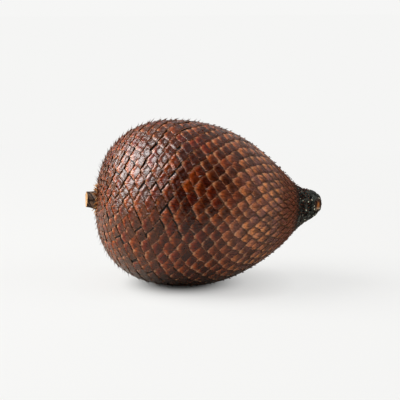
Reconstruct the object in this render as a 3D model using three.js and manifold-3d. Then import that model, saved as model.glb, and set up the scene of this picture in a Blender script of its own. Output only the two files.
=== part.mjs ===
// A snake fruit (salak) lying on its side: one grown fruit covered in overlapping scales, drawn out
// into a dark beak at the narrow end, and the cut stub of the stalk that it hung from.
// Millimetres, +Z up, the fruit's length along X with the stalk at -X and the beak at +X.

import * as THREE from 'three';
import { mergeVertices } from 'three/addons/utils/BufferGeometryUtils.js';
import Module from 'manifold-3d';

// ---------------------------------------------------------------- driving dimensions

// Outline of the fruit. x is counted from the thickest section, towards the beak.
const MAX_RADIUS = 24.5;    // to the face of the scales, at the thickest section
const BASE_DEPTH = 25.1;    // from the thickest section back to the end of the dome
const DOME_POWER = 2.4;     // how full the round end is; 2 would be an ellipse
const FLANK_REACH = 40;     // where the tapering flank would come to a point by itself
const FLANK_POWER = 2.2;    // how late the flank begins to taper
const BEAK_ROOT = 34;       // middle of the small ellipse that the beak is drawn on
const BEAK_RADIUS = 5.2;
const BEAK_LENGTH = 8.6;
const NECK_BLEND = 1.4;     // how softly the flank runs into the beak
const TIP_X = 42.4;         // the blunt end of the beak, with the flower's scar
const SEAT_RADIUS = 4.6;    // flat at the end of the dome, which the stalk stands on

// How it lies
const NOSE_DOWN_DEG = 4.9;  // it settles with the beak a little below the stalk
const BEAK_LIFT = 2.6;      // the beak itself turns up by this much
const BEAK_LIFT_FROM = 30.5;
const REST_DEPTH = 0.5;     // scales are pressed flat this far where the fruit touches down

// Scales
const SCALES_AROUND = 24;
const SCALE_PITCH_BASE = 2.8;   // length of scale that shows, at the round end
const SCALE_PITCH_FLANK = 5.4;  // and where it is greatest, on the flank
const SCALE_PITCH_BEAK = 1.8;   // and on the beak
const FLANK_X = 20;
const TIP_RISE = 0.6;       // a scale's tip stands this far above the face, at the thickest section
const GAP_SINK = 0.15;      // and the gap between scales lies this far below it
const TIP_REACH = 0.35;     // a tip reaches this part of a row towards the beak

// Cut stub of the stalk
const STALK_FOOT_RADIUS = 2.9;
const STALK_END_RADIUS = 2.3;
const STALK_LENGTH = 2.9;
const STALK_SIDES = 20;
const STALK_RIDGES = 5;     // fibres swell the side into this many low ridges
const RIDGE_RISE = 0.12;
const CUT_TURN_DEG = 7;     // the cut isn't square to the stalk
const STALK_DROP = 0.75;    // it leaves the dome a little below the middle
const SEAT_GAP = 0.3;

const OUTLINE_SAMPLES = 90;

// ---------------------------------------------------------------- shared helpers

const wasm = await Module();
wasm.setup();

/** The closed solid of a geometry, its shared vertices merged. */
function toSolid(geometry) {
  const bare = geometry.clone();
  bare.deleteAttribute('normal');
  bare.deleteAttribute('uv');
  const merged = mergeVertices(bare, 1e-5);
  return new wasm.Manifold(new wasm.Mesh({
    numProp: 3,
    vertProperties: new Float32Array(merged.attributes.position.array),
    triVerts: new Uint32Array(merged.index.array),
  }));
}

/** The geometry of a solid. */
function toGeometry(solid) {
  const mesh = solid.getMesh();
  const geometry = new THREE.BufferGeometry();
  geometry.setAttribute('position', new THREE.BufferAttribute(mesh.vertProperties, 3));
  geometry.setIndex(new THREE.BufferAttribute(mesh.triVerts, 1));
  geometry.computeVertexNormals();
  return geometry;
}

// ---------------------------------------------------------------- the fruit

/** Radius of the fruit at x on the tapering side, where flank and beak run into each other. */
function flankRadius(x) {
  const flank = MAX_RADIUS * (1 - (x / FLANK_REACH) ** FLANK_POWER);
  const along = Math.max(0, x - BEAK_ROOT) / BEAK_LENGTH;
  const beak = BEAK_RADIUS * Math.sqrt(Math.max(0, 1 - along * along));
  return (flank + beak + Math.hypot(flank - beak, NECK_BLEND)) / 2;
}

/** The outline from the stalk's seat, round the dome and down the flank, to the tip of the beak. */
function fruitOutline() {
  const points = [];
  const widest = flankRadius(0);
  const seatAngle = Math.asin((SEAT_RADIUS / widest) ** (DOME_POWER / 2));
  for (let i = 0; i < OUTLINE_SAMPLES; i++) {
    const angle = THREE.MathUtils.lerp(seatAngle, Math.PI / 2, i / OUTLINE_SAMPLES);
    const x = -BASE_DEPTH * Math.cos(angle) ** (2 / DOME_POWER);
    points.push(new THREE.Vector2(widest * Math.sin(angle) ** (2 / DOME_POWER), x));
  }
  for (let i = 0; i <= OUTLINE_SAMPLES; i++) {
    const x = TIP_X * (i / OUTLINE_SAMPLES);
    points.push(new THREE.Vector2(flankRadius(x), x));
  }
  const curve = new THREE.SplineCurve(points);
  curve.arcLengthDivisions = 2000;
  return curve;
}

/** Length of scale that shows at x: short at the round end, long on the flank, tiny on the beak. */
function scalePitch(x) {
  const { lerp, smoothstep } = THREE.MathUtils;
  const onBody = lerp(SCALE_PITCH_BASE, SCALE_PITCH_FLANK, smoothstep(x, -BASE_DEPTH, FLANK_X));
  return lerp(onBody, SCALE_PITCH_BEAK, smoothstep(x, FLANK_X, BEAK_ROOT));
}

/** Rows of the scale pattern as points (radius, x), half a scale apart along the outline. */
function scaleRows(outline) {
  const length = outline.getLength();
  const rows = [];
  for (let s = 0; s < length; s += scalePitch(rows.at(-1).y) / 2) {
    rows.push(outline.getPointAt(s / length));
  }
  rows.push(outline.getPointAt(1));
  return rows;
}

/** Corner of the scale pattern: a scale's raised tip, or the sunk gap between two scales. */
function patternPoint(rows, row, column) {
  const angle = Math.PI * column / SCALES_AROUND;
  const isEdge = row === 0 || row === rows.length - 1;
  const isTip = !isEdge && (row + column) % 2 === 0;
  const here = isTip ? rows[row].clone().lerp(rows[row + 1], TIP_REACH) : rows[row];
  const size = rows[row].x / MAX_RADIUS;
  const rise = isTip ? TIP_RISE : -GAP_SINK;
  const radius = here.x + (isEdge ? 0 : rise * size);
  return [here.y, radius * Math.cos(angle), radius * Math.sin(angle)];
}

/** The closed skin over all rows. Each scale is a four-sided rise, its edges along the gaps. */
function scalySkin(rows) {
  const columns = 2 * SCALES_AROUND;
  const positions = [];
  const triangles = [];
  const at = (row, column) => row * columns + (column % columns);
  rows.forEach((_, row) => {
    for (let column = 0; column < columns; column++) {
      positions.push(...patternPoint(rows, row, column));
    }
  });
  for (let row = 0; row < rows.length - 1; row++) {
    for (let column = 0; column < columns; column++) {
      const [a, b] = [at(row, column), at(row, column + 1)];
      const [c, d] = [at(row + 1, column + 1), at(row + 1, column)];
      const tipFirst = (row + column) % 2 === 0;
      triangles.push(...(tipFirst ? [a, b, d, b, c, d] : [a, c, d, a, b, c]));
    }
  }
  const [foot, end] = [rows.length * columns, rows.length * columns + 1];
  positions.push(rows[0].y, 0, 0, rows.at(-1).y, 0, 0);
  for (let column = 0; column < columns; column++) {
    triangles.push(foot, at(0, column + 1), at(0, column));
    triangles.push(end, at(rows.length - 1, column), at(rows.length - 1, column + 1));
  }
  const skin = new THREE.BufferGeometry();
  skin.setAttribute('position', new THREE.Float32BufferAttribute(positions, 3));
  skin.setIndex(triangles);
  return skin;
}

/** Turns the beak up out of the line of the fruit. */
function liftBeak(geometry) {
  const position = geometry.attributes.position;
  for (let v = 0; v < position.count; v++) {
    const part = THREE.MathUtils.smoothstep(position.getX(v), BEAK_LIFT_FROM, TIP_X);
    position.setZ(v, position.getZ(v) + BEAK_LIFT * part);
  }
}

/** The scaly fruit, laid with its nose down, before the spot that it rests on is flattened. */
function scalyFruit() {
  const skin = scalySkin(scaleRows(fruitOutline()));
  liftBeak(skin);
  return skin.rotateY(THREE.MathUtils.degToRad(NOSE_DOWN_DEG));
}

/** Height that the fruit is cut off at below, worked out from its smooth face without the tips. */
function restHeight() {
  const tilt = THREE.MathUtils.degToRad(NOSE_DOWN_DEG);
  const heights = fruitOutline().getPoints(OUTLINE_SAMPLES * 4)
    .map((point) => -point.x * Math.cos(tilt) - point.y * Math.sin(tilt));
  return Math.min(...heights) + REST_DEPTH;
}

/** The fruit with the small flat spot that it rests on. */
function fruitGeometry() {
  const side = 4 * MAX_RADIUS;
  const below = new THREE.BoxGeometry(side, side, side);
  below.translate(0, 0, restHeight() - side / 2);
  return toGeometry(toSolid(scalyFruit()).subtract(toSolid(below)));
}

// ---------------------------------------------------------------- the stalk

/** The cut stub of the stalk: a short ridged taper, its end cut a little out of square. */
function stalkGeometry() {
  const profile = [
    new THREE.Vector2(0, 0),
    new THREE.Vector2(STALK_FOOT_RADIUS, 0),
    new THREE.Vector2(STALK_END_RADIUS * 1.04, STALK_LENGTH * 0.45),
    new THREE.Vector2(STALK_END_RADIUS, STALK_LENGTH),
    new THREE.Vector2(0, STALK_LENGTH),
  ];
  const lathe = new THREE.LatheGeometry(profile, STALK_SIDES);
  const position = lathe.attributes.position;
  const cutSlope = Math.tan(THREE.MathUtils.degToRad(CUT_TURN_DEG));
  for (let v = 0; v < position.count; v++) {
    const [x, along, z] = [position.getX(v), position.getY(v), position.getZ(v)];
    const radius = Math.hypot(x, z);
    if (radius > 0) {
      const ridge = 1 + (RIDGE_RISE / radius) * Math.sin(STALK_RIDGES * Math.atan2(x, z));
      position.setXYZ(v, x * ridge, along, z * ridge);
    }
    if (along === STALK_LENGTH) position.setY(v, along + position.getX(v) * cutSlope);
  }
  lathe.rotateZ(Math.PI / 2);  // the stalk runs towards -X
  return lathe;
}

// ---------------------------------------------------------------- the object

const fruit = new THREE.Mesh(
  fruitGeometry(),
  new THREE.MeshStandardMaterial({ color: 0x6b3a26, roughness: 0.38, metalness: 0 }),
);
fruit.name = 'fruit';

const stalk = new THREE.Mesh(
  stalkGeometry(),
  new THREE.MeshStandardMaterial({ color: 0x6a5543, roughness: 0.85, metalness: 0 }),
);
stalk.name = 'stem_stub';
const stalkOnFruit = new THREE.Group();
stalkOnFruit.rotation.y = THREE.MathUtils.degToRad(NOSE_DOWN_DEG);
stalk.position.set(fruitOutline().getPointAt(0).y - SEAT_GAP, 0, -STALK_DROP);
stalkOnFruit.add(stalk);

const snakeFruit = new THREE.Group();
snakeFruit.add(fruit, stalkOnFruit);
snakeFruit.updateMatrixWorld(true);
const box = new THREE.Box3().setFromObject(snakeFruit, true);
const middle = box.getCenter(new THREE.Vector3());
snakeFruit.position.set(-middle.x, -middle.y, -box.min.z);

const object = new THREE.Group();
object.add(snakeFruit);
export default object;
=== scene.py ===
"""Looks of a snake fruit (salak) lying on its side: overlapping scales, dark beak, cut stub of stalk.

Sizes are in millimetres along the fruit's own axis until ``FruitForm.place`` turns them into metres
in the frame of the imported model.
"""

import logging
import math
from dataclasses import dataclass, field, replace
from enum import Enum
from typing import Any, Sequence

import bpy
import numpy as np
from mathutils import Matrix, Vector, noise


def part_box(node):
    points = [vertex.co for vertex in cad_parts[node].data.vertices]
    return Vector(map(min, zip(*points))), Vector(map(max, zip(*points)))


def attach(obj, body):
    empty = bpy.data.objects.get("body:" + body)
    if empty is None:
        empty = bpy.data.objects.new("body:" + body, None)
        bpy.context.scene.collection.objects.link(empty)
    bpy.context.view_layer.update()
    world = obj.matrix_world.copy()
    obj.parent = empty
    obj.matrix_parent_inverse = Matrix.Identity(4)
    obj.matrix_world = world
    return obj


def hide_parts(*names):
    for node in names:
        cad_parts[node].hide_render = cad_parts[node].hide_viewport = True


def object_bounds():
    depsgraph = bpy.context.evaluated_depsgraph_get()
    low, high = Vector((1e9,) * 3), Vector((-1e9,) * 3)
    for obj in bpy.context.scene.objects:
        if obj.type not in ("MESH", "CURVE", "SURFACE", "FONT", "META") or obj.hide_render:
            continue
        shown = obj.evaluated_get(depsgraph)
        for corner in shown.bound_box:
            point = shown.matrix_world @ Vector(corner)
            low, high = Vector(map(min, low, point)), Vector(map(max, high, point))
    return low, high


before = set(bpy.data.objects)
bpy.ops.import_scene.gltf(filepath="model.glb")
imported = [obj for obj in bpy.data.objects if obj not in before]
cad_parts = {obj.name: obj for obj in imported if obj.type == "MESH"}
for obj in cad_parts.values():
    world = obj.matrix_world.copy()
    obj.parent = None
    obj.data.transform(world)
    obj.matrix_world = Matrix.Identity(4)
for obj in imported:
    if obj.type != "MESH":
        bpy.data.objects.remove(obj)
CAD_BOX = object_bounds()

log = logging.getLogger("snake_fruit")

MM = 0.001
BODY = "root"


class Slot(Enum):
    """The record's material slots."""

    SKIN = "scaly_skin"
    STALK = "dry_stalk"


def smoothstep(value: Any, low: float, high: float) -> Any:
    """Returns 0 at low, 1 at high and a smooth rise between them."""
    part = np.clip((np.asarray(value, float) - low) / (high - low), 0.0, 1.0)
    return part * part * (3.0 - 2.0 * part)


def linear(code: str) -> tuple[float, float, float, float]:
    """Turns an sRGB hex colour into the linear values that shaders take.

    Args:
        code: Six hex digits, such as "8a4312".

    Returns:
        Linear red, green and blue, and a full alpha.
    """
    parts = [int(code[i:i + 2], 16) / 255 for i in (0, 2, 4)]
    bent = [p / 12.92 if p <= 0.04045 else ((p + 0.055) / 1.055) ** 2.4 for p in parts]
    return (*bent, 1.0)


def add_node(tree: bpy.types.NodeTree, kind: str, inputs: dict[Any, Any] | None = None,
             **settings: Any) -> bpy.types.Node:
    """Adds a node with its settings and links.

    Args:
        tree: The node tree that it goes into.
        kind: Blender's name for the node, without the leading "ShaderNode".
        inputs: For each input, by name or number, a value or the output that feeds it.
        **settings: The node's properties. ``stops`` fills a colour ramp with (place, colour) pairs.

    Returns:
        The node.
    """
    made = tree.nodes.new("ShaderNode" + kind)
    stops = settings.pop("stops", [])
    for name, value in settings.items():
        setattr(made, name, value)
    for key, value in (inputs or {}).items():
        if isinstance(value, bpy.types.NodeSocket):
            tree.links.new(value, made.inputs[key])
        else:
            made.inputs[key].default_value = value
    for count, (place, colour) in enumerate(stops):
        ramp = made.color_ramp.elements
        stop = ramp[count] if count < len(ramp) else ramp.new(place)
        stop.position, stop.color = place, colour
    return made


def empty_material(name: str) -> tuple[bpy.types.Material, bpy.types.NodeTree]:
    """Makes a material with no nodes but its output.

    Args:
        name: The material's name.

    Returns:
        The material and its node tree.
    """
    material = bpy.data.materials.new(name)
    material.use_nodes = True
    material.node_tree.nodes.clear()
    return material, material.node_tree


# ---------------------------------------------------------------------------- the fruit's form


@dataclass
class FruitForm:
    """The fruit's outline and the way it lies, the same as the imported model's."""

    max_radius: float = 24.5
    base_depth: float = 25.1
    dome_power: float = 2.4
    flank_reach: float = 40.0
    flank_power: float = 2.2
    beak_root: float = 34.0
    beak_radius: float = 5.2
    beak_length: float = 8.6
    neck_blend: float = 1.4
    tip_x: float = 42.4
    nose_down_deg: float = 4.9
    beak_lift: float = 2.6
    beak_lift_from: float = 30.5
    rest_depth: float = 0.5
    clearance: float = 0.02
    least_radius: float = 1.5
    samples: int = 1500
    table: dict[str, np.ndarray] = field(default_factory=dict, init=False)
    shift: tuple[float, float] = field(default=(0.0, 0.0), init=False)

    def __post_init__(self) -> None:
        """Works out the outline's arc length and normals, and where the fruit stands."""
        turn = np.linspace(0.01, math.pi / 2, self.samples)
        dome_x = -self.base_depth * np.cos(turn) ** (2 / self.dome_power)
        dome_r = self.flank_radius(0.0) * np.sin(turn) ** (2 / self.dome_power)
        flank_x = np.linspace(0.0, self.tip_x, self.samples)[1:]
        x = np.concatenate([dome_x, flank_x])
        r = np.concatenate([dome_r, self.flank_radius(flank_x)])
        s = np.concatenate([[0.0], np.cumsum(np.hypot(np.diff(x), np.diff(r)))])
        slope_x, slope_r = np.gradient(x, s), np.gradient(r, s)
        size = np.hypot(slope_x, slope_r)
        self.table = {"s": s, "x": x, "r": r, "nx": -slope_r / size, "nr": slope_x / size}
        tilt = math.radians(self.nose_down_deg)
        lowest = float(np.min(-r * math.cos(tilt) - x * math.sin(tilt)))
        end_top = self.beak_lift + float(r[-1])
        farthest = self.tip_x * math.cos(tilt) + end_top * math.sin(tilt)
        self.shift = (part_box("fruit")[1].x / MM - farthest, -(lowest + self.rest_depth))

    def flank_radius(self, x: Any) -> Any:
        """Gives the radius on the tapering side, where flank and beak run together.

        Args:
            x: Places along the axis, mm.

        Returns:
            The radius at each, mm.
        """
        x = np.asarray(x, float)
        flank = self.max_radius * (1 - (x / self.flank_reach) ** self.flank_power)
        along = np.maximum(0.0, x - self.beak_root) / self.beak_length
        beak = self.beak_radius * np.sqrt(np.maximum(0.0, 1 - along**2))
        return (flank + beak + np.hypot(flank - beak, self.neck_blend)) / 2

    def look(self, s: Any, column: str) -> np.ndarray:
        """Returns a column of the outline's table at arc length s."""
        return np.interp(s, self.table["s"], self.table[column])

    def local_radius(self, s: Any) -> np.ndarray:
        """Returns the radius at s, but not so small that a short way across turns far."""
        return np.maximum(self.look(s, "r"), self.least_radius)

    def s_at_x(self, x: float) -> float:
        """Returns the arc length at x."""
        return float(np.interp(x, self.table["x"], self.table["s"]))

    def s_at_dome_radius(self, r: float) -> float:
        """Returns the arc length where the round end has radius r."""
        return float(np.interp(r, self.table["r"][:self.samples], self.table["s"][:self.samples]))

    def surface(self, s: Any, angle: Any, height: Any) -> np.ndarray:
        """Gives points on or over the smooth skin, along the fruit's own axis.

        Args:
            s: Arc length from the stalk end, mm.
            angle: Turn about the axis, 0 at the front and rising over the top, radians.
            height: Distance out from the smooth skin, mm.

        Returns:
            Points in mm, one row each.
        """
        x = self.look(s, "x") + self.look(s, "nx") * height
        r = np.maximum(self.look(s, "r") + self.look(s, "nr") * height, 0.0)
        return np.stack(np.broadcast_arrays(x, -r * np.cos(angle), r * np.sin(angle)), axis=-1)

    def place(self, points: np.ndarray) -> np.ndarray:
        """Moves points from the fruit's own axis to the model's frame.

        Args:
            points: Points in mm along the fruit's own axis.

        Returns:
            Points in metres as the fruit lies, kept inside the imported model's box.
        """
        tilt = math.radians(self.nose_down_deg)
        lift = self.beak_lift * smoothstep(points[..., 0], self.beak_lift_from, self.tip_x)
        x, y, z = points[..., 0], points[..., 1], points[..., 2] + lift
        laid = np.stack([
            x * math.cos(tilt) + z * math.sin(tilt) + self.shift[0],
            y,
            -x * math.sin(tilt) + z * math.cos(tilt) + self.shift[1],
        ], axis=-1)
        low, high = (np.array(corner) / MM for corner in CAD_BOX)
        return np.clip(laid, low + self.clearance, high - self.clearance) * MM


# ---------------------------------------------------------------------------- meshes


@dataclass
class MeshParts:
    """Vertices, faces and attributes of a mesh that is being put together."""

    points: np.ndarray
    faces: Sequence[Sequence[int]]
    flat: np.ndarray | None = None
    slots: np.ndarray | None = None
    vectors: dict[str, np.ndarray] = field(default_factory=dict)

    def to_object(self, name: str, materials: Sequence[bpy.types.Material]) -> bpy.types.Object:
        """Makes the Blender object.

        Args:
            name: The piece's name.
            materials: Its materials, in the order of the slots.

        Returns:
            The object, linked to the scene.
        """
        mesh = bpy.data.meshes.new(name)
        mesh.from_pydata(self.points.reshape(-1, 3).tolist(), [], self.faces)
        flat = np.zeros(len(self.faces), bool) if self.flat is None else self.flat
        mesh.attributes.new("sharp_face", "BOOLEAN", "FACE").data.foreach_set("value", flat)
        if self.slots is not None:
            mesh.polygons.foreach_set("material_index", self.slots.astype(np.int32))
        for label, values in self.vectors.items():
            made = mesh.attributes.new(label, "FLOAT_VECTOR", "POINT")
            made.data.foreach_set("vector", np.ascontiguousarray(values, np.float32).ravel())
        for material in materials:
            mesh.materials.append(material)
        mesh.update()
        piece = bpy.data.objects.new(name, mesh)
        bpy.context.scene.collection.objects.link(piece)
        return piece


def tube_faces(rings: int, around: int) -> list[tuple[int, ...]]:
    """Gives the quads between rings of vertices, then the first ring's cap and the last one's.

    Args:
        rings: How many rings there are.
        around: How many vertices a ring has.

    Returns:
        Faces that point out when the rings run along +X with their angle rising from the front up.
    """
    faces: list[tuple[int, ...]] = []
    for ring in range(rings - 1):
        for step in range(around):
            after = (step + 1) % around
            low, high = ring * around, (ring + 1) * around
            faces.append((low + step, high + step, high + after, low + after))
    faces.append(tuple(range(around)))
    faces.append(tuple(range(rings * around - 1, (rings - 1) * around - 1, -1)))
    return faces


def wobble(points: np.ndarray, size: float, seed: float = 0.0) -> np.ndarray:
    """Gives smooth noise at points.

    Args:
        points: Points, one row each.
        size: The size of the noise's lumps, in the points' unit.
        seed: Moves the noise, to give another pattern.

    Returns:
        One value from about -1 to 1 for each point.
    """
    flat = points.reshape(-1, 3) / size + seed
    return np.array([noise.noise(Vector(p)) for p in flat]).reshape(points.shape[:-1])


# ---------------------------------------------------------------------------- the scales


@dataclass
class ScaleSeats:
    """Where every scale sits and how big it is: one entry of each array for each scale."""

    s: np.ndarray
    angle: np.ndarray
    pitch: np.ndarray
    span: np.ndarray
    drift: np.ndarray
    twist: np.ndarray
    tone: np.ndarray
    tilt: np.ndarray
    lean: np.ndarray

    def pick(self, chosen: np.ndarray) -> "ScaleSeats":
        """Returns only the chosen scales."""
        return ScaleSeats(*(getattr(self, name)[chosen] for name in self.__dataclass_fields__))


@dataclass
class ScaleLattice:
    """The interleaved rows of scales, each with the same number of columns all the way.

    Counts are how many scales would go round by their width at the front. ``count_steps`` holds the
    stretches over which the count rises and by how much. Slide and stretch are shares of a scale.
    """

    pitch_base: float = 3.3
    pitch_flank: float = 4.6
    pitch_beak: float = 2.1
    grow_from_x: float = -22.0
    grow_to_x: float = 26.0
    grow_power: float = 1.8
    shrink_from_x: float = 25.0
    shrink_to_x: float = 36.0
    count_base: float = 22.5
    count_steps: tuple[tuple[float, float, float], ...] = ((-8.0, 9.5, 8.4), (9.5, 24.0, 2.7))
    columns: int = 27
    first_radius: float = 3.4
    last_x: float = 37.0
    twist_deg: float = 4.2
    slide: float = 0.06
    slide_across: float = 0.042
    stretch: float = 0.06
    seed: int = 7

    def pitch(self, x: float) -> float:
        """Gives the length along the fruit from one row to the next of the same columns.

        Args:
            x: The place along the axis, mm.

        Returns:
            The length, mm.
        """
        grown = smoothstep(x, self.grow_from_x, self.grow_to_x) ** self.grow_power
        body = self.pitch_base + (self.pitch_flank - self.pitch_base) * grown
        shrunk = smoothstep(x, self.shrink_from_x, self.shrink_to_x)
        return float(body + (self.pitch_beak - body) * shrunk)

    def around(self, x: float) -> float:
        """Returns how many scales would go round at x, by their width at the front."""
        added = sum(more * smoothstep(x, low, high) for low, high, more in self.count_steps)
        return float(self.count_base + added)

    def angles(self, count: float, steps: np.ndarray) -> tuple[np.ndarray, np.ndarray]:
        """Gives the angles of one row's scales.

        Args:
            count: How many scales would go round by their width at the front.
            steps: The scales' places in the row, 0 at the front.

        Returns:
            The scales' angles and the angles they take up, in radians.
        """
        half = self.columns / 2
        squeeze = math.pi * (1 - self.columns / count) / half**3
        return (2 * math.pi * steps / count + squeeze * steps**3,
                2 * math.pi / count + 3 * squeeze * steps**2)

    def seats(self, form: FruitForm) -> ScaleSeats:
        """Lays out all scales, by their width at the front and closing up evenly at the back.

        Args:
            form: The fruit's form.

        Returns:
            The scales' places and sizes.
        """
        rng = np.random.default_rng(self.seed)
        found: list[tuple[float, ...]] = []
        s, row = form.s_at_dome_radius(self.first_radius), 0
        last = form.s_at_x(self.last_x)
        while s < last:
            x = float(form.look(s, "x"))
            pitch = self.pitch(x)
            steps = np.arange(self.columns) - self.columns // 2 + 0.5 * (row % 2)
            angles, spans = self.angles(self.around(x), steps)
            before, after = (self.angles(self.around(float(form.look(s + way * pitch, "x"))),
                                         steps)[0] for way in (-0.5, 0.5))
            drifts = (after - before) / pitch
            found += [(s, a, pitch, w, d) for a, w, d in zip(angles, spans, drifts)]
            s += pitch / 2
            row += 1
        places, angles, pitches, spans, drifts = np.array(found).T
        jitter = rng.normal(0.0, 1.0, (len(places), 7)).clip(-2.0, 2.0)
        forward, sideways, twist, tilt, lean, longer, wider = jitter.T
        return ScaleSeats(
            s=places + forward * self.slide * pitches,
            angle=angles + sideways * self.slide_across * spans,
            pitch=pitches * (1 + self.stretch * longer),
            span=spans * (1 + self.stretch * wider),
            drift=drifts,
            twist=twist * math.radians(self.twist_deg),
            tone=rng.random((len(places), 2)),
            tilt=tilt,
            lean=lean,
        )


@dataclass
class ScaleShape:
    """One scale: a plate with a steep rim, a dished middle and a free end that stands clear.

    Lengths along the scale are shares of the pitch and lengths across are shares of half its
    width, but heights and the rim are in mm for a full-sized scale. ``flank_x`` is where the flank's
    flatness starts, is whole, starts to end and has ended. ``low_from`` and ``underside_from`` are
    where the flatter lower half and the underside's painted shade start and are whole, by how far
    the skin faces down.
    """

    root: float = -0.75
    shown_from: float = -0.52
    tip: float = 0.76
    roundness: float = 0.96
    half_width: float = 1.1
    root_narrowing: float = 0.3
    root_height: float = -0.5
    root_blend: float = 0.1
    lift: float = 0.67
    lift_from: float = -0.04
    rim_at: tuple[float, ...] = (-0.1, 0.1, 0.8, 1.7)
    rim_height: tuple[float, ...] = (-0.16, -0.02, 0.12, -0.22)
    rim_rounding: float = 0.12
    keel: float = 0.17
    keel_width: float = 0.36
    keel_full: float = 0.45
    edge_drop: float = 0.05
    edge_reach: float = 0.1
    dome: float = 0.0
    tilt: float = 0.05
    lean: float = 0.08
    thickness: float = 0.3
    under_width: float = 0.97
    full_size: float = 4.9
    least_relief: float = 0.4
    flank_flatness: float = 0.42
    flank_x: tuple[float, float, float, float] = (-12.0, 8.0, 20.0, 30.0)
    low_flatness: float = 0.56
    low_from: tuple[float, float] = (-0.15, 0.4)
    underside_from: tuple[float, float] = (0.62, 0.92)
    hidden_rows: int = 2
    rows: int = 17
    columns: int = 17
    tip_end: float = 0.997
    tip_crowding: float = 1.15
    edge_crowding: float = 0.12

    def width(self, u: np.ndarray) -> np.ndarray:
        """Gives half the width.

        Args:
            u: Places along the scale.

        Returns:
            Half the width at each, as a share of half the scale's full width.
        """
        free = np.clip(u / self.tip, 0.0, 1.0) ** self.roundness
        root = np.clip(u / self.root, 0.0, 1.0) ** 2
        narrowed = 1 - self.root_narrowing * root
        return self.half_width * (1 - free) ** (1 / self.roundness) * narrowed

    def grid(self) -> tuple[np.ndarray, np.ndarray]:
        """Gives the grid that a scale's top face is built on, closer at its edge.

        Returns:
            The places along the scale (u) and across it (q).
        """
        hidden = np.linspace(self.root, self.shown_from, self.hidden_rows, endpoint=False)
        shown = 1 - np.linspace(1.0, 0.0, self.rows - self.hidden_rows) ** self.tip_crowding
        shown = self.shown_from + (self.tip * self.tip_end - self.shown_from) * shown
        across = np.linspace(-1.0, 1.0, self.columns)
        across = across * (1 + self.edge_crowding * (1 - across**2))
        u, across = np.meshgrid(np.concatenate([hidden, shown]), across, indexing="ij")
        return u, across * self.width(u)

    def uncovered(self, along: np.ndarray, across: np.ndarray, pitch: np.ndarray,
                  width: np.ndarray) -> np.ndarray:
        """Gives the distance out from the free edge of one scale behind.

        Args:
            along: Distance along from that scale's middle, as a share of the pitch.
            across: Distance across from it, as a share of half the width.
            pitch: The pitch, mm.
            width: The whole width, mm.

        Returns:
            Distance in mm, below 0 under the scale.
        """
        power = (np.clip(along, 0.0, None) / self.tip) ** self.roundness
        power = (power + np.abs(across / self.half_width) ** self.roundness).clip(1e-4)
        size = np.hypot(along * pitch, across * width / 2)
        return (size * (1 - power ** (-1 / self.roundness))).clip(-2.0, 3.0)

    def height(self, u: np.ndarray, q: np.ndarray, pitch: np.ndarray, width: np.ndarray,
               size: np.ndarray) -> tuple[np.ndarray, np.ndarray, np.ndarray]:
        """Gives the height of the top face.

        Args:
            u: Places along the scale.
            q: Places across it.
            pitch: Each scale's pitch, mm.
            width: Each scale's whole width, mm.
            size: Each scale's size, as a share of a full-sized scale.

        Returns:
            The height and the distance out from the scales behind, in mm of a full-sized scale,
            and how far in from the free edge, from 0 to 1. The underside has 1 less than that.
        """
        near = [self.uncovered(u + 0.5, 1 - q, pitch, width) / size,
                self.uncovered(u + 0.5, 1 + q, pitch, width) / size,
                self.uncovered(u + 1.0, q, pitch, width) / size]
        behind = -self.rim_rounding * np.log(sum(np.exp(-d / self.rim_rounding) for d in near))
        ahead = np.clip(u / self.tip, 0.0, 1.0) ** self.roundness
        power = ahead + np.abs(q / self.half_width) ** self.roundness
        edge = 1 - np.clip(power, 0.0, 1.0) ** (1 / self.roundness)
        share = np.clip((u - self.lift_from) / (self.tip - self.lift_from), 0.0, 1.0)
        height = self.lift * share
        sunk = 1 - smoothstep(u, self.root, self.shown_from + self.root_blend)
        keel = np.exp(-((q / self.keel_width) ** 2)) * smoothstep(u, 0.0, self.keel_full)
        height = height + self.root_height * sunk + np.interp(behind, self.rim_at, self.rim_height)
        height += self.keel * keel
        height -= self.edge_drop * (1 - smoothstep(edge, 0.0, self.edge_reach))
        height -= self.dome * (1 - edge) ** 2
        return height, behind, edge

    def size(self, seats: ScaleSeats, form: FruitForm) -> np.ndarray:
        """Returns each scale's size, as a share of a full-sized scale."""
        width = form.look(seats.s, "r") * seats.span
        return np.clip(np.sqrt(width * seats.pitch) / self.full_size, self.least_relief, 1.0)

    def relief(self, seats: ScaleSeats, form: FruitForm) -> np.ndarray:
        """Gives how much of the full relief each scale has, by its size and place.

        Args:
            seats: The scales' places.
            form: The fruit's form.

        Returns:
            A share for each scale.
        """
        x = form.look(seats.s, "x")
        flank = smoothstep(x, *self.flank_x[:2]) * (1 - smoothstep(x, *self.flank_x[2:]))
        flank = self.flank_flatness * flank
        low = self.low_flatness * smoothstep(-np.sin(seats.angle), *self.low_from)
        return self.size(seats, form) * (1 - np.maximum(flank, low))

    def lay(self, seats: ScaleSeats, form: FruitForm, u: np.ndarray, q: np.ndarray,
            height: np.ndarray) -> np.ndarray:
        """Lays points of every scale on the fruit.

        Args:
            seats: The scales' places.
            form: The fruit's form.
            u: Places along the scale, one array for each scale.
            q: Places across it.
            height: Heights in mm.

        Returns:
            Points in mm along the fruit's own axis.
        """
        spread = (slice(None),) + (None,) * (u.ndim - 1)
        pitch, span, twist, drift = (getattr(seats, n)[spread]
                                     for n in ("pitch", "span", "twist", "drift"))
        width = (form.look(seats.s, "r") * seats.span)[spread]
        along = seats.s[spread] + u * pitch - np.sin(twist) * q * width / 2
        angle = seats.angle[spread] + q * span / 2
        angle = angle + (np.sin(twist) / form.local_radius(along) + drift) * u * pitch
        return form.surface(along, angle, height)

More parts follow.
